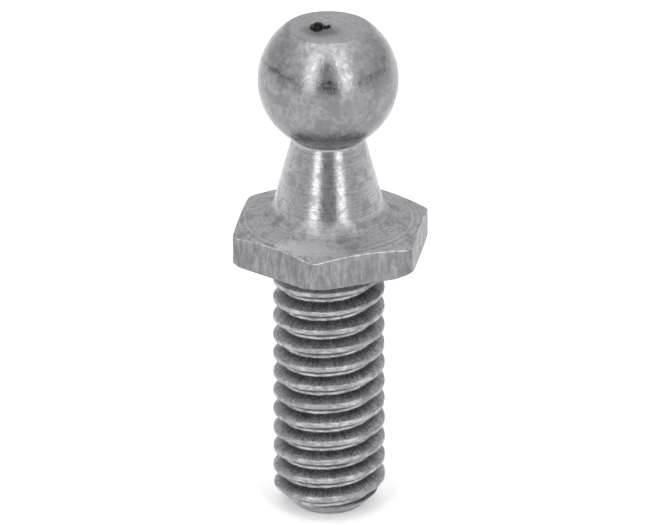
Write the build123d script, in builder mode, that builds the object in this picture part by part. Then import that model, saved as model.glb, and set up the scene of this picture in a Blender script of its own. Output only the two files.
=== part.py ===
"""Ball stud: a 10 mm class ball on a tapered neck, a 1/2 in hexagon and a 5/16-18 UNC thread.

The stud is turned from one piece of hexagon bar. Its machined zones are written as four solids
that meet face to face: ball, neck, hex_flange and threaded_shank.

Frame: millimetres, +Z along the stud towards the ball. The origin is on the turned axis, in the
plane of the hexagon's underside, which is the face that seats. Two of the hexagon's corners point
along -Y and +Y.
"""

from build123d import *
from build123d.topology import SkipClean
from math import ceil, cos, radians, sin, sqrt, tan
import os

os.makedirs("parts", exist_ok=True)

# Ball
ball_radius = 4.87
ball_centre_z = 12.86
flat_radius = 2.90  # faced end of the ball
flat_edge_round = 0.80
dish_radius = 2.15  # shallow hollow left in the faced end
dish_depth = 0.12

# Neck: a taper that widens towards the hexagon
neck_top_radius = 2.50
neck_half_angle = 14.5  # degrees
neck_top_round = 0.30  # tool nose radius under the ball
neck_foot_round = 1.00
ball_seam_z = 8.90  # plane where the neck zone ends and the ball zone begins

# Hexagon
across_flats = 12.60
hexagon_runout = 0.12  # the bar's centre lies this far from the turned axis, along +X
corner_round = 0.80
corner_height = 2.05
top_slope = 16.0  # degrees, of the conical top face
bottom_chamfer_width = 0.30
bottom_chamfer_angle = 30.0  # degrees
spigot_radius = 4.20
spigot_height = 0.40

# Thread, right hand, 18 turns per inch
thread_pitch = 25.4 / 18
crest_radius = 3.875
thread_depth = 0.845
crest_width = 0.22
flank_angle = 30.0  # degrees, half of the included angle
shank_length = 19.0
tip_chamfer = 1.565
thread_start_z = -1.00  # the groove runs out this far below the hexagon
groove_overrun = 0.12  # the cutting section reaches this far outside the crest
crest_phase = 5.0  # degrees from +X where a crest passes the plane of the origin
shank_panels = 16
panel_start = 19.0  # degrees from +X

# Where the neck's taper and the hexagon's conical top would meet without the round between them
corner_radius = across_flats / 2 / cos(radians(30)) - corner_round * (1 / cos(radians(30)) - 1)
ball_drop = sqrt(ball_radius**2 - neck_top_radius**2)
neck_top_z = ball_centre_z - ball_drop
taper = tan(radians(neck_half_angle))
slope = tan(radians(top_slope))
foot_radius = (neck_top_radius + taper * (neck_top_z - corner_height - slope * corner_radius)) / (
    1 - taper * slope
)
foot_z = corner_height + slope * (corner_radius - foot_radius)

# The round's lower end, where the neck zone meets the hexagon zone
foot_turn = radians(90 - neck_half_angle - top_slope)
foot_tangent = neck_foot_round * tan(foot_turn / 2)
flange_seam_radius = foot_radius + foot_tangent * cos(radians(top_slope))
flange_seam_z = foot_z - foot_tangent * sin(radians(top_slope))


# Ball, faced flat at the end with a shallow hollow in the face
flat_z = ball_centre_z + sqrt(ball_radius**2 - flat_radius**2)
with BuildPart() as ball:
    with BuildSketch(Plane.XZ) as ball_section:
        with Locations((0, ball_centre_z)):
            Circle(ball_radius)
        with Locations((0, ball_seam_z)):
            Rectangle(
                ball_radius,
                flat_z - ball_seam_z,
                align=(Align.MIN, Align.MIN),
                mode=Mode.INTERSECT,
            )
        flat_edge = ball_section.vertices().sort_by_distance((flat_radius, flat_z))[0]
        fillet(flat_edge, flat_edge_round)
        with BuildLine():
            rim = Line((0, flat_z), (dish_radius, flat_z))
            dish_floor = TangentArc((0, flat_z - dish_depth), rim @ 1, tangent=(1, 0))
            Line(rim @ 0, dish_floor @ 0)
        make_face(mode=Mode.SUBTRACT)
    revolve(axis=Axis.Z)


# Neck, from the hexagon's conical top to the ball
with BuildPart() as neck:
    with BuildSketch(Plane.XZ) as neck_section:
        with BuildLine():
            Polyline(
                (0, 0),
                (corner_radius, 0),
                (corner_radius, corner_height),
                (foot_radius, foot_z),
                (neck_top_radius - taper, neck_top_z + 1),
                (0, neck_top_z + 1),
                close=True,
            )
        make_face()
        with Locations((0, ball_centre_z)):
            Circle(ball_radius)
        split(bisect_by=Plane.YZ, keep=Keep.TOP)
        for corner, round_radius in (
            ((foot_radius, foot_z), neck_foot_round),
            ((neck_top_radius, neck_top_z), neck_top_round),
        ):
            fillet(neck_section.vertices().sort_by_distance(corner)[0], round_radius)
        with Locations((0, flange_seam_z)):
            Rectangle(
                2 * corner_radius,
                ball_seam_z - flange_seam_z,
                align=(Align.CENTER, Align.MIN),
                mode=Mode.INTERSECT,
            )
    revolve(axis=Axis.Z)


# Hexagon with rounded corners, a conical top face and a chamfered underside
bottom_chamfer_height = bottom_chamfer_width * tan(radians(bottom_chamfer_angle))
with BuildPart() as hex_flange:
    with BuildSketch():
        with Locations((hexagon_runout, 0)):
            RegularPolygon(across_flats / 2, side_count=6, major_radius=False, rotation=30)
    extrude(amount=flange_seam_z)
    fillet(hex_flange.edges().filter_by(Axis.Z), corner_round)
    with BuildSketch(Plane.XZ):
        with BuildLine():
            Polyline(
                (0, 0),
                (corner_radius - bottom_chamfer_width, 0),
                (corner_radius, bottom_chamfer_height),
                (corner_radius + 1, bottom_chamfer_height + tan(radians(bottom_chamfer_angle))),
                (corner_radius + 1, corner_height - slope),
                (flange_seam_radius, flange_seam_z),
                (0, flange_seam_z),
                close=True,
            )
        make_face()
    revolve(axis=Axis.Z, mode=Mode.INTERSECT)
    with BuildSketch():
        Circle(spigot_radius)
    extrude(amount=spigot_height, mode=Mode.SUBTRACT)


# Threaded shank. A short spigot fills the recess in the hexagon. The full-diameter length is drawn
# as equal panels round the axis, and the right-hand groove is cut through them turn by turn.
groove_half = (thread_pitch - crest_width) / 2
flank_slope = tan(radians(flank_angle))
root_half = groove_half - thread_depth * flank_slope
full_length = shank_length - tip_chamfer
turns_below_origin = ceil(shank_length / thread_pitch)
groove_bottom_z = thread_pitch * (0.5 - crest_phase / 360 - turns_below_origin)
groove_turns = ceil((thread_start_z - groove_bottom_z) / thread_pitch)
panel_angle = 360 / shank_panels
panels = [
    Edge.make_circle(
        crest_radius,
        start_angle=panel_start + panel * panel_angle,
        end_angle=panel_start + (panel + 1) * panel_angle,
    )
    for panel in range(shank_panels)
]
shank_outline = Face(Wire(panels))
with SkipClean(), BuildPart() as threaded_shank:
    extrude(shank_outline, amount=full_length, dir=(0, 0, -1), clean=False)
    with BuildSketch(Plane.XZ):
        with BuildLine():
            Polyline(
                (0, -shank_length),
                (crest_radius - tip_chamfer, -shank_length),
                (crest_radius, -full_length),
                (0, -full_length),
                close=True,
            )
        make_face()
    revolve(axis=Axis.Z, clean=False)
    with BuildSketch():
        Circle(spigot_radius)
    extrude(amount=spigot_height, clean=False)
    for turn in range(groove_turns):
        turn_bottom_z = groove_bottom_z + turn * thread_pitch
        with BuildLine() as groove_path:
            Helix(
                pitch=thread_pitch,
                height=min(thread_pitch, thread_start_z - turn_bottom_z),
                radius=crest_radius,
                center=(0, 0, turn_bottom_z),
            )
        start, heading = groove_path.line @ 0, groove_path.line % 0
        with BuildSketch(Plane(origin=start, x_dir=(1, 0, 0), z_dir=heading)):
            with BuildLine():
                Polyline(
                    (groove_overrun, -groove_half - groove_overrun * flank_slope),
                    (-thread_depth, -root_half),
                    (-thread_depth, root_half),
                    (groove_overrun, groove_half + groove_overrun * flank_slope),
                    close=True,
                )
            make_face()
        sweep(path=groove_path.line, is_frenet=True, mode=Mode.SUBTRACT, clean=False)


for label, zone in (
    ("ball", ball),
    ("neck", neck),
    ("hex_flange", hex_flange),
    ("threaded_shank", threaded_shank),
):
    zone.part.label = label

export_step(ball.part, "parts/ball.step")
export_step(neck.part, "parts/neck.step")
export_step(hex_flange.part, "parts/hex_flange.step")
export_step(threaded_shank.part, "parts/threaded_shank.step")
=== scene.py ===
import math

import bmesh
import bpy
import numpy as np
from mathutils import Matrix, Vector, noise


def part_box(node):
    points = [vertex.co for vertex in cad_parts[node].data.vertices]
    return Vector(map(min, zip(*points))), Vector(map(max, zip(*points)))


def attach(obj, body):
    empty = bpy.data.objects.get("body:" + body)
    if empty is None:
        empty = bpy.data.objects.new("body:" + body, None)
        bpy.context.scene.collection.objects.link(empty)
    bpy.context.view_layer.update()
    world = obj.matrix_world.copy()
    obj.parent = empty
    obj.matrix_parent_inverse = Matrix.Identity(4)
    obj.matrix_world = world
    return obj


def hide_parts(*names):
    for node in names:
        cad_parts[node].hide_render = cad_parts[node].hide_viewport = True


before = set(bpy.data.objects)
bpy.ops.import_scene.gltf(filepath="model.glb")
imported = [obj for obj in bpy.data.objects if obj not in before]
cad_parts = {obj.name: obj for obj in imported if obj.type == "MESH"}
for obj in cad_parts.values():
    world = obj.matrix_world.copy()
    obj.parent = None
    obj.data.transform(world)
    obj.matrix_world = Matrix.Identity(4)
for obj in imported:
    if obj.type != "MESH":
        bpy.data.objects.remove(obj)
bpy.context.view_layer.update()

# Sizes are in millimetres here, as in the CAD model, and become metres when a mesh is made.
MM = 0.001
BALL_RADIUS = 4.87
FLAT_RADIUS = 2.90
FLAT_EDGE_ROUND = 0.80
DISH_RADIUS = 2.15
DISH_DEPTH = 0.12
NECK_TOP_RADIUS = 2.50
NECK_HALF_ANGLE = math.radians(14.5)
NECK_TOP_ROUND = 0.30
NECK_FOOT_ROUND = 1.00
ACROSS_FLATS = 12.60
HEXAGON_RUNOUT = 0.12
CORNER_ROUND = 0.80
CORNER_HEIGHT = 2.05
TOP_SLOPE = math.radians(16)
PITCH = 25.4 / 18
CREST_RADIUS = 3.875
THREAD_DEPTH = 0.845
ROOT_RADIUS = CREST_RADIUS - THREAD_DEPTH
CREST_PHASE = math.radians(5)
TIP_CHAMFER = 1.565

BALL_LOW, BALL_HIGH = (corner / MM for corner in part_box("ball"))
NECK_LOW, NECK_HIGH = (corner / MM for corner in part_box("neck"))
SHANK_LOW, SHANK_HIGH = (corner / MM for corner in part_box("threaded_shank"))

BALL_CENTRE_Z = BALL_HIGH.z - math.sqrt(BALL_RADIUS**2 - FLAT_RADIUS**2)
NECK_TOP_Z = BALL_CENTRE_Z - math.sqrt(BALL_RADIUS**2 - NECK_TOP_RADIUS**2)
CORNER_RADIUS = ACROSS_FLATS / 2 / math.cos(math.pi / 6) - CORNER_ROUND * (
    1 / math.cos(math.pi / 6) - 1
)
FLANGE_SEAM = NECK_HIGH.x  # the neck zone's foot is as wide as the seam in the hexagon's top


# ---------------------------------------------------------------- meshes


def surface(name, points, node, material, wrap=True):
    """A piece from a grid of points (rows, columns, xyz) in millimetres, closed round the axis and
    capped at its first and last rows, in place of a CAD node."""
    rows, columns, _ = points.shape
    across = columns if wrap else columns - 1
    index = np.arange(rows * columns).reshape(rows, columns)
    right = np.roll(index, -1, axis=1)[:, :across]
    left = index[:, :across]
    quads = np.stack([left[:-1], right[:-1], right[1:], left[1:]], axis=-1).reshape(-1, 4).tolist()
    caps = [index[0][::-1].tolist(), index[-1].tolist()]
    mesh = bpy.data.meshes.new(name)
    mesh.from_pydata((points.reshape(-1, 3) * MM).tolist(), [], quads + caps)
    return finish_piece(name, mesh, node, material)


def finish_piece(name, mesh, node, material):
    """Smooth shading on all but the caps, the material, and the piece's place in the frame."""
    mesh.validate()
    mesh.polygons.foreach_set("use_smooth", [len(face.vertices) < 5 for face in mesh.polygons])
    mesh.materials.append(material)
    piece = bpy.data.objects.new(name, mesh)
    bpy.context.scene.collection.objects.link(piece)
    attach(piece, "root")
    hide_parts(node)
    return piece


def arc(centre, radius, start, end, steps):
    """Points of an arc in the (radius, height) plane, with angles in radians from outwards."""
    angles = np.linspace(start, end, steps)
    return [(centre[0] + radius * math.cos(a), centre[1] + radius * math.sin(a)) for a in angles]


def straight(start, end, steps):
    """Points of a straight run in the (radius, height) plane, without its first point."""
    return [
        (start[0] + (end[0] - start[0]) * t, start[1] + (end[1] - start[1]) * t)
        for t in np.linspace(0, 1, steps + 1)[1:]
    ]


def lathe(profile, columns):
    """Grid of points of a profile turned about the Z axis."""
    angles = np.linspace(0, 2 * math.pi, columns, endpoint=False)
    radius, height = (np.array(part)[:, None] for part in zip(*profile))
    return np.stack(
        [radius * np.cos(angles), radius * np.sin(angles), height + 0 * angles], axis=-1
    )


def rough(point, size, seed):
    """Smooth noise about zero at a place in millimetres, with features of about that size."""
    return noise.noise(Vector(point) / size + Vector((seed, 0, 0)))


# ---------------------------------------------------------------- node graphs


class Graph:
    """Short calls for building a node tree. A value is a number or another node's socket."""

    def __init__(self, tree):
        self.tree = tree

    def node(self, kind, inputs=(), **settings):
        made = self.tree.nodes.new(kind)
        for key, value in settings.items():
            setattr(made, key, value)
        for key, value in dict(inputs).items():
            self.put(value, made.inputs[key])
        return made

    def put(self, value, socket):
        if isinstance(value, bpy.types.NodeSocket):
            self.tree.links.new(value, socket)
        else:
            socket.default_value = value

    def math(self, operation, *values):
        made = self.node("ShaderNodeMath", operation=operation)
        for value, socket in zip(values, made.inputs):
            self.put(value, socket)
        return made.outputs[0]

    def times(self, first, second):
        return self.math("MULTIPLY", first, second)

    def step(self, value, low, high, to_low=0.0, to_high=1.0):
        """Smooth change from to_low to to_high as the value goes from low to high."""
        made = self.node(
            "ShaderNodeMapRange",
            {
                "Value": value,
                "From Min": low,
                "From Max": high,
                "To Min": to_low,
                "To Max": to_high,
            },
            interpolation_type="SMOOTHSTEP",
        )
        return made.outputs[0]

    def band(self, value, low, high, soft):
        """1 between low and high, falling smoothly to 0 over soft outside them."""
        rise = self.step(value, low - soft, low)
        fall = self.step(value, high, high + soft, 1.0, 0.0)
        return self.times(rise, fall)

    def noise(self, vector, scale, detail=3.0, roughness=0.5, distortion=0.0):
        made = self.node(
            "ShaderNodeTexNoise",
            {
                "Vector": vector,
                "Scale": scale,
                "Detail": detail,
                "Roughness": roughness,
                "Distortion": distortion,
            },
        )
        return made.outputs[0]

    def lines(self, value, scale, detail=2.0):
        """Noise that depends on one value only."""
        made = self.node(
            "ShaderNodeTexNoise",
            {"W": value, "Scale": scale, "Detail": detail},
            noise_dimensions="1D",
        )
        return made.outputs[0]

    def pits(self, vector, scale, size):
        """Scattered round spots: 1 in a spot, 0 elsewhere."""
        made = self.node("ShaderNodeTexVoronoi", {"Vector": vector, "Scale": scale})
        return self.step(made.outputs["Distance"], size * 0.5, size, 1.0, 0.0)

    def fade(self, factor, first, second):
        """Number between first and second, by a factor from 0 to 1."""
        made = self.node("ShaderNodeMix")
        for value, socket in zip((factor, first, second), (0, 2, 3)):
            self.put(value, made.inputs[socket])
        return made.outputs[0]

    def scaled(self, vector, scale):
        return self.node("ShaderNodeMapping", {"Vector": vector, "Scale": scale}).outputs[0]

    def tint(self, value, low=(0, 0, 0, 1), high=(0.985, 0.985, 1.03, 1)):
        """Colour for a grey value: the steel's own faint blue, unless other ends are given."""
        made = self.node("ShaderNodeMix", data_type="RGBA")
        for given, socket in zip((value, low, high), (0, 6, 7)):
            self.put(given, made.inputs[socket])
        return made.outputs[2]


class Steel(Graph):
    """A steel material with its place on the stud, in millimetres, ready as sockets."""

    def __init__(self, name):
        self.material = bpy.data.materials.new(name)
        self.material.use_nodes = True
        super().__init__(self.material.node_tree)
        self.shader = self.tree.nodes["Principled BSDF"]
        here = self.node("ShaderNodeTexCoord").outputs["Object"]
        self.place = self.scaled(here, (1 / MM, 1 / MM, 1 / MM))
        axes = self.node("ShaderNodeSeparateXYZ", {"Vector": self.place})
        self.x, self.y, self.z = axes.outputs
        flat_place = self.scaled(self.place, (1, 1, 0))
        self.radius = self.node(
            "ShaderNodeVectorMath", {"Vector": flat_place}, operation="LENGTH"
        ).outputs["Value"]

    def away(self, centre, reach):
        """Distance from the line over a place, as a share of a reach along X and Y."""
        scale = (1 / reach[0], 1 / reach[1], 0)
        shift = (-centre[0] / reach[0], -centre[1] / reach[1], 0)
        moved = self.node(
            "ShaderNodeMapping", {"Vector": self.place, "Location": shift, "Scale": scale}
        ).outputs[0]
        measure = self.node("ShaderNodeVectorMath", {"Vector": moved}, operation="LENGTH")
        return measure.outputs["Value"]

    def finish(self, grey, roughness, height, depth, anisotropy=0.0):
        """Wires the shader. Height is relief from 0 to 1, and depth is its size in millimetres."""
        bump = self.node(
            "ShaderNodeBump", {"Height": height, "Distance": depth * MM, "Strength": 1.0}
        )
        self.shader.inputs["Metallic"].default_value = 1.0
        self.put(self.tint(grey), self.shader.inputs["Base Color"])
        self.put(roughness, self.shader.inputs["Roughness"])
        self.put(bump.outputs[0], self.shader.inputs["Normal"])
        if anisotropy:
            self.shader.inputs["Anisotropic"].default_value = anisotropy
            self.shader.inputs["Anisotropic Rotation"].default_value = 0.25
            round_axis = self.node("ShaderNodeTangent", direction_type="RADIAL", axis="Z")
            self.put(round_axis.outputs[0], self.shader.inputs["Tangent"])
        return self.material


# The torn pit in the ball's face: each lobe's centre, reach along X and Y, and depth
PIT_LOBES = (((-0.78, 0.06), (0.44, 0.80), 0.40), ((-0.14, 0.26), (0.27, 0.38), 0.22))
PIT_REACH = 1.6
SEAM_LEVEL = 15.2  # height of the faint seam plus its wander, which is from 0 to 1.4 mm


def ball_steel():
    """Formed and tumbled ball: stained above a faint seam, smoother below it, torn in its face,
    with painted shade in the pit and on the face round it.
    """
    g = Steel("ball_steel")
    broad = g.noise(g.place, 0.75, 6, 0.64, 0.9)
    mottle = g.noise(g.place, 2.8, 6, 0.68)
    fine = g.noise(g.place, 7.0, 4, 0.65)
    level = g.math("MULTIPLY_ADD", g.noise(g.place, 0.8, 4, 0.6), 1.4, g.z)
    above = g.step(level, SEAM_LEVEL, SEAM_LEVEL + 0.40)
    seam = g.times(
        g.band(level, SEAM_LEVEL + 0.02, SEAM_LEVEL + 0.14, 0.08),
        g.step(g.x, -2.2, -1.2, 0.95, 0.04),
    )
    spots = g.times(g.pits(g.place, 1.5, 0.13), g.step(g.noise(g.place, 0.9, 2), 0.52, 0.58))
    face = g.step(g.radius, FLAT_RADIUS - 0.5, FLAT_RADIUS - 0.1, 1.0, 0.0)
    face = g.times(face, g.step(g.z, BALL_HIGH.z - 1.2, BALL_HIGH.z - 0.9))
    ragged = g.fade(g.noise(g.place, 4.0, 5, 0.8), -0.55, 0.55)
    swirl = g.times(g.lines(g.away((0.70, 0.28), (1.0, 1.0)), 9.0), face)
    pit = 0.0
    for centre, reach, _ in PIT_LOBES:
        lobe = g.step(g.math("ADD", g.away(centre, reach), ragged), 0.92, 1.22, 1.0, 0.0)
        pit = g.math("MAXIMUM", pit, g.times(lobe, face))
    # Painted shade: the face is painted darker on its slope round the pit, most of all to the front
    # left.
    pit_slope_shade = g.math("ADD", g.away((-0.40, -0.60), (1.6, 1.45)), ragged)
    pit_slope_shade = g.times(g.step(pit_slope_shade, 0.25, 1.20, 0.85, 0.0), face)

    grey = g.fade(g.step(mottle, 0.34, 0.66), 0.235, 0.325)
    clouds = g.step(g.noise(g.place, 0.55, 5, 0.66, 0.8), 0.44, 0.58)
    grey = g.fade(g.times(clouds, 0.85), grey, 0.205)
    stained = g.times(above, g.step(broad, 0.40, 0.58, 0.25, 0.9))
    grey = g.fade(stained, grey, g.step(mottle, 0.36, 0.62, 0.46, 0.29))
    grey = g.fade(g.step(broad, 0.55, 0.66, 0.0, 0.40), grey, 0.20)
    grey = g.fade(g.times(seam, g.step(fine, 0.30, 0.55, 0.3, 0.8)), grey, 0.15)
    grey = g.fade(g.times(spots, 0.55), grey, 0.14)
    grey = g.fade(g.times(face, 0.7), grey, g.step(mottle, 0.36, 0.62, 0.31, 0.46))
    grey = g.fade(g.step(swirl, 0.46, 0.60, 0.0, 0.35), grey, 0.22)
    # Painted shade on the slope round the pit.
    grey = g.fade(pit_slope_shade, grey, 0.12)
    # Painted shade: the pit's torn hollow is painted near black.
    grey = g.fade(pit, grey, g.step(fine, 0.35, 0.7, 0.010, 0.085))

    dulled = g.math("ADD", mottle, g.times(above, 0.12))
    roughness = g.step(dulled, 0.3, 0.8, 0.21, 0.37)
    roughness = g.fade(g.math("MAXIMUM", pit_slope_shade, pit), roughness, 0.7)
    lumps = g.noise(g.place, 2.1, 5, 0.6)
    relief = g.math("MULTIPLY_ADD", lumps, 0.75, g.times(fine, 0.22))
    relief = g.math("MULTIPLY_ADD", g.lines(g.z, 7.0), 0.07, relief)
    relief = g.math("MULTIPLY_ADD", swirl, 0.9, relief)
    relief = g.math("MULTIPLY_ADD", g.math("ADD", seam, spots), -0.2, relief)
    return g.finish(grey, roughness, relief, 0.028, 0.2)


def turned_cut(g):
    """Grey, roughness and relief of the taper, its foot and the conical top, all of one cut, with
    painted light on their front.
    """
    taper = g.step(g.z, 2.9, 4.1)
    rings = g.lines(g.math("SUBTRACT", g.radius, g.z), 4.0, 5)
    hoops = g.noise(g.scaled(g.place, (1.5, 1.5, 9.0)), 1.0, 4, 0.62)
    stains = g.noise(g.place, 1.25, 6, 0.70, 0.7)
    fine = g.noise(g.place, 6.0, 5, 0.7)
    dull, bright = g.fade(taper, 0.34, 0.33), g.fade(taper, 0.44, 0.41)
    grey = g.fade(g.step(rings, 0.3, 0.7), dull, bright)
    grey = g.fade(g.step(stains, 0.49, 0.60, 0.0, 0.60), grey, 0.23)
    grey = g.fade(g.times(g.step(fine, 0.54, 0.64), 0.45), grey, 0.17)
    # Painted light: the front of the foot and the conical top is painted lighter, in a patch broken
    # up by the stains.
    painted_front_light = g.math("MULTIPLY_ADD", stains, 1.6, g.away((-0.5, -5.5), (2.9, 1.5)))
    grey = g.fade(g.step(painted_front_light, 1.1, 1.9, 0.75, 0.0), grey, 0.62)
    dark_hoops = g.times(g.step(hoops, 0.33, 0.41, 0.8, 0.0), taper)
    grey = g.fade(dark_hoops, grey, 0.20)
    roughness = g.math("ADD", g.step(stains, 0.4, 0.64, 0.21, 0.33), g.fade(taper, 0.32, 0.0))
    relief = g.math("MULTIPLY_ADD", rings, g.fade(taper, 0.30, 0.10), g.times(fine, 0.3))
    relief = g.math("MULTIPLY_ADD", stains, 0.35, relief)
    return grey, roughness, relief


def neck_steel():
    """Turned taper: bright along its length, stained in patches, with a few dark hoops."""
    g = Steel("neck_steel")
    return g.finish(*turned_cut(g), 0.02, 0.35)


def hexagon_steel():
    """Turned rings on the conical top, drawn streaks and thin scratches down the flats, and a
    painted highlight along the soft top edges.
    """
    g = Steel("hexagon_steel")
    facing = g.node(
        "ShaderNodeSeparateXYZ", {"Vector": g.node("ShaderNodeNewGeometry").outputs["True Normal"]}
    )
    level = g.math("ABSOLUTE", facing.outputs[2])
    top = g.step(level, 0.35, 0.75)
    # Painted highlight: the soft top edges, picked out by their slanted normals, are painted
    # lighter.
    edge = g.times(g.band(level, 0.22, 0.82, 0.06), g.step(g.z, 0.6, 1.0))
    top_grey, top_roughness, top_relief = turned_cut(g)
    streaks = g.noise(g.scaled(g.place, (2.6, 2.6, 0.60)), 1.0, 6, 0.66, 0.5)
    scratches = g.noise(g.scaled(g.place, (6.0, 6.0, 1.1)), 1.0, 4, 0.62, 0.6)
    patches = g.noise(g.place, 1.3, 6, 0.66, 0.5)
    fine = g.noise(g.place, 6.5, 4, 0.7)
    side = g.fade(g.step(streaks, 0.34, 0.66), 0.19, 0.33)
    side = g.fade(g.step(patches, 0.50, 0.64, 0.0, 0.50), side, 0.18)
    side = g.fade(g.step(scratches, 0.30, 0.38, 0.70, 0.0), side, 0.10)
    side = g.fade(g.step(fine, 0.56, 0.68, 0.0, 0.55), side, 0.12)
    roughness = g.fade(top, g.step(patches, 0.3, 0.7, 0.34, 0.48), top_roughness)
    side_relief = g.math("MULTIPLY_ADD", streaks, 0.7, g.times(fine, 0.35))
    relief = g.fade(top, side_relief, top_relief)
    # The soft top edges get the painted highlight.
    grey = g.fade(edge, g.fade(top, side, top_grey), g.step(streaks, 0.4, 0.6, 0.30, 0.60))
    return g.finish(grey, roughness, relief, 0.02)


def thread_steel():
    """Cut thread: crests bright with wear, torn flanks with radial chatter, painted darker towards
    the root as painted shade in the groove, and a painted highlight along the root flat.
    """
    g = Steel("thread_steel")
    heading = g.node(
        "ShaderNodeCombineXYZ",
        {
            "X": g.math("DIVIDE", g.x, g.radius),
            "Y": g.math("DIVIDE", g.y, g.radius),
            "Z": g.times(g.z, 0.030),
        },
    ).outputs[0]
    chatter = g.noise(heading, 34.0, 3, 0.7)
    grain = g.noise(g.place, 6.5, 5, 0.72)
    blotches = g.noise(g.place, 1.1, 5, 0.65, 0.5)
    hoops = g.noise(g.scaled(g.place, (1.6, 1.6, 7.0)), 1.0, 5, 0.66)
    patch = g.step(g.away((3.5, -1.3), (1.3, 1.5)), 0.7, 1.1, 0.8, 0.0)
    torn = g.times(patch, g.step(g.z, -3.0, -2.3))
    level = g.math("MULTIPLY_ADD", grain, 0.16, g.radius)
    tear = g.math("MULTIPLY_ADD", chatter, 0.40, g.times(grain, 0.60))
    # Painted shade: the flanks are painted darker towards the root, where the groove is shaded; the
    # tear and blotch factors are the torn surface.
    flank = g.step(level, ROOT_RADIUS + 0.14, CREST_RADIUS + 0.02, 0.14, 0.34)
    flank = g.times(flank, g.step(tear, 0.38, 0.62, 0.50, 1.42))
    flank = g.times(flank, g.step(blotches, 0.35, 0.65, 0.85, 1.15))
    land = g.fade(g.step(blotches, 0.40, 0.62), 0.34, 0.54)
    land = g.fade(g.step(hoops, 0.44, 0.60, 0.0, 0.75), land, 0.20)
    land = g.fade(g.step(grain, 0.50, 0.64, 0.0, 0.40), land, 0.17)
    grey = g.fade(g.step(level, CREST_RADIUS - 0.05, CREST_RADIUS + 0.03), flank, land)
    # Painted highlight: the root flat is painted lighter than the land, standing in for its bright
    # reflection.
    root = g.step(level, ROOT_RADIUS + 0.10, ROOT_RADIUS + 0.16, 1.0, 0.0)
    grey = g.fade(root, grey, g.step(hoops, 0.40, 0.62, 0.66, 0.30))
    tip = g.step(g.z, SHANK_LOW.z + 0.05, SHANK_LOW.z + TIP_CHAMFER, 1.0, 0.0)
    grey = g.fade(g.times(tip, 0.5), grey, 0.34)
    grey = g.fade(g.times(torn, g.step(tear, 0.3, 0.6, 1.0, 0.5)), grey, 0.06)
    roughness = g.step(g.radius, CREST_RADIUS - 0.25, CREST_RADIUS, 0.46, 0.30)
    relief = g.math("MULTIPLY_ADD", chatter, 0.40, g.times(grain, 0.65))
    return g.finish(grey, roughness, relief, 0.045)


# ---------------------------------------------------------------- ball


BALL_COLUMNS = 288


def pit_depth(x, y):
    """Depth of the torn pit left where the bar was parted off, beside the middle of the face."""
    ragged = 0.30 * rough((x, y, 0), 0.28, 3) + 0.22 * rough((x, y, 0), 0.11, 8)
    depth = 0.0
    for centre, reach, full in PIT_LOBES:
        away = math.hypot((x - centre[0]) / reach[0], (y - centre[1]) / reach[1]) + ragged
        depth = max(depth, full * (1 - np.interp(away, (0.5, 1.0), (0, 1))))
    return depth


def ball_piece():
    """The sphere, its edge round and its faced end, with the shallow dish and the pit in it."""
    centre = (0, BALL_CENTRE_Z)
    start = math.asin((BALL_LOW.z - centre[1]) / BALL_RADIUS)
    # The edge round touches the sphere and the flat, so its centre is this far from the axis
    round_height = BALL_HIGH.z - FLAT_EDGE_ROUND - centre[1]
    round_radius = math.sqrt((BALL_RADIUS - FLAT_EDGE_ROUND) ** 2 - round_height**2)
    end = math.atan2(round_height, round_radius)
    round_centre = (round_radius, BALL_HIGH.z - FLAT_EDGE_ROUND)
    dish = [
        (radius, BALL_HIGH.z - DISH_DEPTH * (1 - (radius / DISH_RADIUS) ** 2))
        for radius in np.linspace(DISH_RADIUS, 0.02, 80)
    ]
    profile = (
        arc(centre, BALL_RADIUS, start, end, 110)
        + arc(round_centre, FLAT_EDGE_ROUND, end, math.pi / 2, 8)[1:]
        + straight((round_radius, BALL_HIGH.z), (DISH_RADIUS, BALL_HIGH.z), 10)[:-1]
        + dish
    )
    points = lathe(profile, BALL_COLUMNS)
    for row in points:
        for point in row:
            if math.hypot(point[0], point[1]) < PIT_REACH:
                point[2] -= pit_depth(point[0], point[1])
    return surface("ball_zone", points, "ball", ball_steel())


# ---------------------------------------------------------------- neck


NECK_COLUMNS = 256


def foot():
    """Where the taper and the hexagon's conical top would meet, as (radius, height)."""
    taper, slope = math.tan(NECK_HALF_ANGLE), math.tan(TOP_SLOPE)
    rise = NECK_TOP_Z - CORNER_HEIGHT - slope * CORNER_RADIUS
    radius = (NECK_TOP_RADIUS + taper * rise) / (1 - taper * slope)
    return radius, CORNER_HEIGHT + slope * (CORNER_RADIUS - radius)


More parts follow.
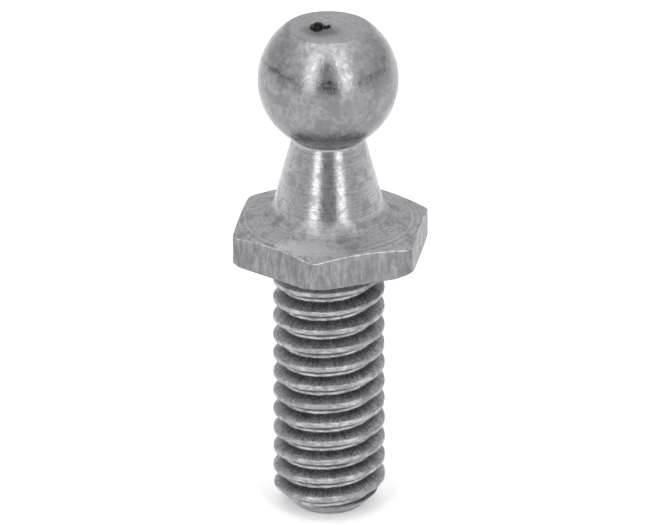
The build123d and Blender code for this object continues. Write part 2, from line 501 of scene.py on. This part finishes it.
def neck_piece():
    """The taper between its two rounds, up to where the ball zone begins."""
    foot_radius, foot_z = foot()
    turn = math.pi / 2 - NECK_HALF_ANGLE - TOP_SLOPE
    tangent = NECK_FOOT_ROUND * math.tan(turn / 2)
    low = (foot_radius + tangent * math.cos(TOP_SLOPE), foot_z - tangent * math.sin(TOP_SLOPE))
    round_centre = (
        low[0] + NECK_FOOT_ROUND * math.sin(TOP_SLOPE),
        low[1] + NECK_FOOT_ROUND * math.cos(TOP_SLOPE),
    )
    lower_round = arc(
        round_centre, NECK_FOOT_ROUND, -math.pi / 2 - TOP_SLOPE, -math.pi + NECK_HALF_ANGLE, 24
    )
    # The small round under the ball touches both the taper and the sphere from outside
    side = NECK_TOP_RADIUS + math.tan(NECK_HALF_ANGLE) * NECK_TOP_Z
    reach = BALL_RADIUS + NECK_TOP_ROUND
    best = min(
        np.linspace(NECK_TOP_Z - 0.6, NECK_TOP_Z + 0.4, 2001),
        key=lambda z: abs(
            math.sqrt(reach**2 - (z - BALL_CENTRE_Z) ** 2)
            - (side - math.tan(NECK_HALF_ANGLE) * z + NECK_TOP_ROUND / math.cos(NECK_HALF_ANGLE))
        ),
    )
    small_centre = (math.sqrt(reach**2 - (best - BALL_CENTRE_Z) ** 2), best)
    to_ball = math.atan2(BALL_CENTRE_Z - small_centre[1], -small_centre[0])
    upper_round = arc(small_centre, NECK_TOP_ROUND, math.pi + NECK_HALF_ANGLE, to_ball, 10)
    ball_start = math.atan2(upper_round[-1][1] - BALL_CENTRE_Z, upper_round[-1][0])
    ball_end = math.asin((NECK_HIGH.z - BALL_CENTRE_Z) / BALL_RADIUS)
    profile = (
        lower_round
        + straight(lower_round[-1], upper_round[0], 60)
        + upper_round[1:]
        + arc((0, BALL_CENTRE_Z), BALL_RADIUS, ball_start, ball_end, 5)[1:]
    )
    points = lathe(profile, NECK_COLUMNS)
    return surface("neck_zone", points, "neck", neck_steel())


# ---------------------------------------------------------------- hexagon

HEXAGON_COLUMNS = 720
UNDERSIDE_RADIUS = 3.5  # the underside begins inside the thread's crests, out of sight
BOTTOM_CHAMFER = 0.30
EDGE = 0.06  # width of the soft edges


def hexagon_radius(angle):
    """Distance from the hexagon's centre to its outline, with two corners along the Y axis."""
    from_corner = (angle - math.pi / 2 + math.pi / 6) % (math.pi / 3) - math.pi / 6
    round_centre = (ACROSS_FLATS / 2 - CORNER_ROUND) / math.cos(math.pi / 6)
    on_round = round_centre * math.cos(from_corner) + math.sqrt(
        max(CORNER_ROUND**2 - (round_centre * math.sin(from_corner)) ** 2, 0)
    )
    on_flat = ACROSS_FLATS / 2 / math.cos(math.pi / 6 - abs(from_corner))
    reach = math.atan2(
        CORNER_ROUND * math.sin(math.pi / 6), round_centre + CORNER_ROUND * math.cos(math.pi / 6)
    )
    return on_round if abs(from_corner) < reach else on_flat


def hexagon_piece():
    """Underside, chamfer, flats, soft edges and conical top, as one column for each bearing."""
    slope = math.tan(TOP_SLOPE)
    grid = []
    for angle in np.linspace(0, 2 * math.pi, HEXAGON_COLUMNS, endpoint=False):
        reach = hexagon_radius(angle)
        heading = Vector((math.cos(angle), math.sin(angle)))
        rim = heading * reach + Vector((HEXAGON_RUNOUT, 0))
        out = rim.length
        top = CORNER_HEIGHT + slope * (CORNER_RADIUS - out)
        lift = max(0, out - CORNER_RADIUS + BOTTOM_CHAMFER) * math.tan(math.pi / 6)
        foot_of_flat = (rim.x, rim.y, 0)
        streak = 0.012 * rough(foot_of_flat, 0.35, 5) + 0.02 * rough(foot_of_flat, 1.6, 9)
        column = []
        for t in np.linspace(0, 1, 6):
            radius = UNDERSIDE_RADIUS + (out - BOTTOM_CHAMFER - UNDERSIDE_RADIUS) * t
            column.append((radius, 0.0))
        column.append((out - EDGE, max(lift - EDGE * 0.4, 0.0)))
        column.append((out - EDGE * 0.3, lift + EDGE * 0.15))
        for t in np.linspace(0, 1, 14):
            height = lift + EDGE + (top - EDGE - lift - EDGE) * t
            grain = 0.010 * rough((rim.x * 3, rim.y * 3, height * 0.5), 1.0, 2)
            column.append((out + min(streak + grain, 0.0), height))
        for tilt in (0.3, 0.6, 0.9):
            column.append((out - EDGE * (1 - math.cos(tilt)), top - EDGE * (1 - math.sin(tilt))))
        for t in np.linspace(0, 1, 36):
            radius = out - EDGE + (FLANGE_SEAM - out + EDGE) * t
            column.append((radius, CORNER_HEIGHT + slope * (CORNER_RADIUS - radius)))
        bearing = rim.normalized()
        grid.append([(bearing.x * r, bearing.y * r, z) for r, z in column])
    points = np.array(grid).transpose(1, 0, 2)
    return surface("hexagon_zone", points, "hex_flange", hexagon_steel())


# ---------------------------------------------------------------- thread


CREST_HALF, ROOT_HALF = 0.115, 0.075  # half widths, as shares of a pitch
SHOULDER_WINDOW = 7  # steps of the profile over which its corners are rounded
COLUMNS_PER_TURN, STEPS_PER_PITCH = 160, 36
THREAD_TOP = 0.15  # the thread zone reaches this far up into the hexagon
FADE_TOP, FADE_LENGTH = -0.25, 1.2  # where the groove has faded out, and over what height
TEAR_DEPTH, NICK_DEPTH = 0.03, 0.04


def thread_profile(steps):
    """One pitch going up from crest to crest, as shares of a pitch and depths from 0 to 1."""
    shares = np.linspace(0, 1, steps, endpoint=False)
    from_crest = np.minimum(shares, 1 - shares)
    depths = np.clip((from_crest - CREST_HALF) / (0.5 - CREST_HALF - ROOT_HALF), 0, 1)
    # A short weighted average rounds the crest's shoulders and the root
    kernel = np.hanning(SHOULDER_WINDOW) / np.hanning(SHOULDER_WINDOW).sum()
    half = SHOULDER_WINDOW // 2
    padded = np.concatenate([depths[-half:], depths, depths[:half]])
    return shares, np.convolve(padded, kernel, "valid")


def thread_piece():
    """One right-hand helical strip, joined to itself a turn further up and cut off at both ends."""
    per_turn, steps = COLUMNS_PER_TURN, STEPS_PER_PITCH
    shares, depths = thread_profile(steps)
    low, high = SHANK_LOW.z, THREAD_TOP
    turns = math.ceil((high - low) / PITCH) + 2
    first = math.floor(low / PITCH) - 1
    columns = per_turn * turns
    rows = []
    for i in range(columns + 1):
        angle = 2 * math.pi * i / per_turn
        base = (first + i / per_turn) * PITCH - PITCH * CREST_PHASE / (2 * math.pi)
        strip = []
        for share, depth in zip(shares, depths):
            z = base + share * PITCH
            fade = float(np.clip((FADE_TOP - z) / FADE_LENGTH, 0, 1)) ** 0.7
            tear = rough((math.cos(angle) * 9, math.sin(angle) * 9, z * 1.3), 0.7, 4)
            nick = max(rough((math.cos(angle) * 6, math.sin(angle) * 6, z * 0.8), 1.2, 11), 0)
            radius = CREST_RADIUS - THREAD_DEPTH * depth * fade
            radius += TEAR_DEPTH * tear * depth - NICK_DEPTH * nick * (1 - depth)
            envelope = CREST_RADIUS - TIP_CHAMFER + (z - SHANK_LOW.z)
            if z < SHANK_LOW.z + TIP_CHAMFER:
                radius = min(radius, envelope + 0.02 * tear)
            strip.append((math.cos(angle) * radius, math.sin(angle) * radius, z))
        rows.append(strip)
    points = np.array(rows).reshape(-1, 3)
    quads = []
    turn = per_turn * steps
    for i in range(columns):
        here, after = i * steps, (i + 1) * steps
        for j in range(steps - 1):
            quads.append((here + j, after + j, after + j + 1, here + j + 1))
        # The strip's upper edge meets its own lower edge one turn later
        if i + 1 + per_turn <= columns:
            quads.append((after - 1, after + steps - 1, after + turn, here + turn))
    mesh = bpy.data.meshes.new("thread_zone")
    mesh.from_pydata((points * MM).tolist(), [], quads)
    work = bmesh.new()
    work.from_mesh(mesh)
    for height, up in ((low * MM, False), (high * MM, True)):
        everything = work.verts[:] + work.edges[:] + work.faces[:]
        bmesh.ops.bisect_plane(
            work,
            geom=everything,
            plane_co=(0, 0, height),
            plane_no=(0, 0, 1),
            clear_outer=up,
            clear_inner=not up,
        )
        rim = [e for e in work.edges if e.is_boundary and abs(e.verts[0].co.z - height) < 1e-7]
        bmesh.ops.holes_fill(work, edges=rim)
    bmesh.ops.recalc_face_normals(work, faces=work.faces)
    work.to_mesh(mesh)
    work.free()
    return finish_piece("thread_zone", mesh, "threaded_shank", thread_steel())


# ---------------------------------------------------------------- camera, floor and light

CAMERA_AZIMUTH = math.radians(9.31)
CAMERA_ELEVATION = math.radians(24.07)
CAMERA_ROLL = math.radians(-0.16)
CAMERA_DISTANCE = 1.5
CAMERA_FIELD = math.radians(1.7461)
AIM_RIGHT, AIM_UP = 0.165, -0.876
FLOOR_REACH = 8.0  # metres from the middle to each side


def make_camera():
    right = Vector((math.cos(CAMERA_AZIMUTH), math.sin(CAMERA_AZIMUTH), 0))
    level = Vector((math.sin(CAMERA_AZIMUTH), -math.cos(CAMERA_AZIMUTH), 0))
    back = level * math.cos(CAMERA_ELEVATION) + Vector((0, 0, math.sin(CAMERA_ELEVATION)))
    up = back.cross(right)
    turned = Matrix.Rotation(CAMERA_ROLL, 3, back)
    right, up = turned @ right, turned @ up
    data = bpy.data.cameras.new("camera")
    data.sensor_width = 36
    data.lens = data.sensor_width / 2 / math.tan(CAMERA_FIELD / 2)
    data.clip_start, data.clip_end = 0.05, 20
    camera = bpy.data.objects.new("camera", data)
    bpy.context.scene.collection.objects.link(camera)
    aim = (right * AIM_RIGHT + up * AIM_UP) * MM
    axes = Matrix((right, up, back)).transposed().to_4x4()
    camera.matrix_world = Matrix.Translation(aim + back * CAMERA_DISTANCE) @ axes
    bpy.context.scene.camera = camera


def make_floor():
    """Pale paper at the height of the stud's tip."""
    mesh = bpy.data.meshes.new("floor")
    signs = ((-1, -1), (1, -1), (1, 1), (-1, 1))
    corners = [(x * FLOOR_REACH, y * FLOOR_REACH, SHANK_LOW.z * MM) for x, y in signs]
    mesh.from_pydata(corners, [], [(0, 1, 2, 3)])
    material = bpy.data.materials.new("floor_paper")
    material.use_nodes = True
    g = Graph(material.node_tree)
    shader = material.node_tree.nodes["Principled BSDF"]
    here = g.node("ShaderNodeTexCoord").outputs["Object"]
    paper = g.tint(g.noise(here, 900, 3), (0.90, 0.90, 0.91, 1), (0.93, 0.93, 0.94, 1))
    g.put(paper, shader.inputs["Base Color"])
    shader.inputs["Emission Color"].default_value = (1, 1, 1, 1)
    shader.inputs["Emission Strength"].default_value = 0.14
    shader.inputs["Roughness"].default_value = 0.9
    shader.inputs["Specular IOR Level"].default_value = 0.1
    mesh.materials.append(material)
    floor = bpy.data.objects.new("floor", mesh)
    bpy.context.scene.collection.objects.link(floor)


def make_studio():
    """A white tent with a dark gap on one side and a tall softbox each side of the gap."""
    world = bpy.data.worlds.new("studio")
    bpy.context.scene.world = world
    world.use_nodes = True
    g = Graph(world.node_tree)
    here = g.node("ShaderNodeTexCoord").outputs["Generated"]
    turned = g.node(
        "ShaderNodeVectorRotate",
        {"Vector": here, "Axis": (0, 0, 1), "Angle": -CAMERA_AZIMUTH},
        rotation_type="AXIS_ANGLE",
    ).outputs[0]
    axes = g.node("ShaderNodeSeparateXYZ", {"Vector": turned})
    x, y, z = axes.outputs
    azimuth = g.math("ARCTAN2", x, g.times(y, -1.0))
    aside = g.times(g.math("ABSOLUTE", azimuth), 180 / math.pi)
    height = g.times(g.math("ARCSINE", z), 180 / math.pi)
    walls = g.math("ADD", g.step(aside, 40, 100, 0.56, 0.46), g.step(height, 4, 18, 0.0, 0.36))
    walls = g.math("MAXIMUM", walls, g.step(aside, 95, 165, 0.30, 0.85))
    boxes = g.times(g.band(aside, 24, 36, 5), g.band(height, -30, 58, 14))
    gap = g.times(g.step(aside, 15, 24, 1.0, 0.0), g.step(height, 45, 70, 1.0, 0.0))
    ceiling = g.step(height, 36, 72)
    light = g.math("MULTIPLY_ADD", ceiling, 0.85, walls)
    light = g.times(light, g.math("SUBTRACT", 1.0, g.times(gap, 0.86)))
    light = g.math("MULTIPLY_ADD", boxes, 2.9, light)
    background = world.node_tree.nodes["Background"]
    background.inputs["Color"].default_value = (1, 1, 1, 1)
    g.put(light, background.inputs["Strength"])
    bpy.context.scene.view_settings.view_transform = "Standard"


make_camera()
make_studio()
make_floor()
ball_piece()
neck_piece()
hexagon_piece()
thread_piece()
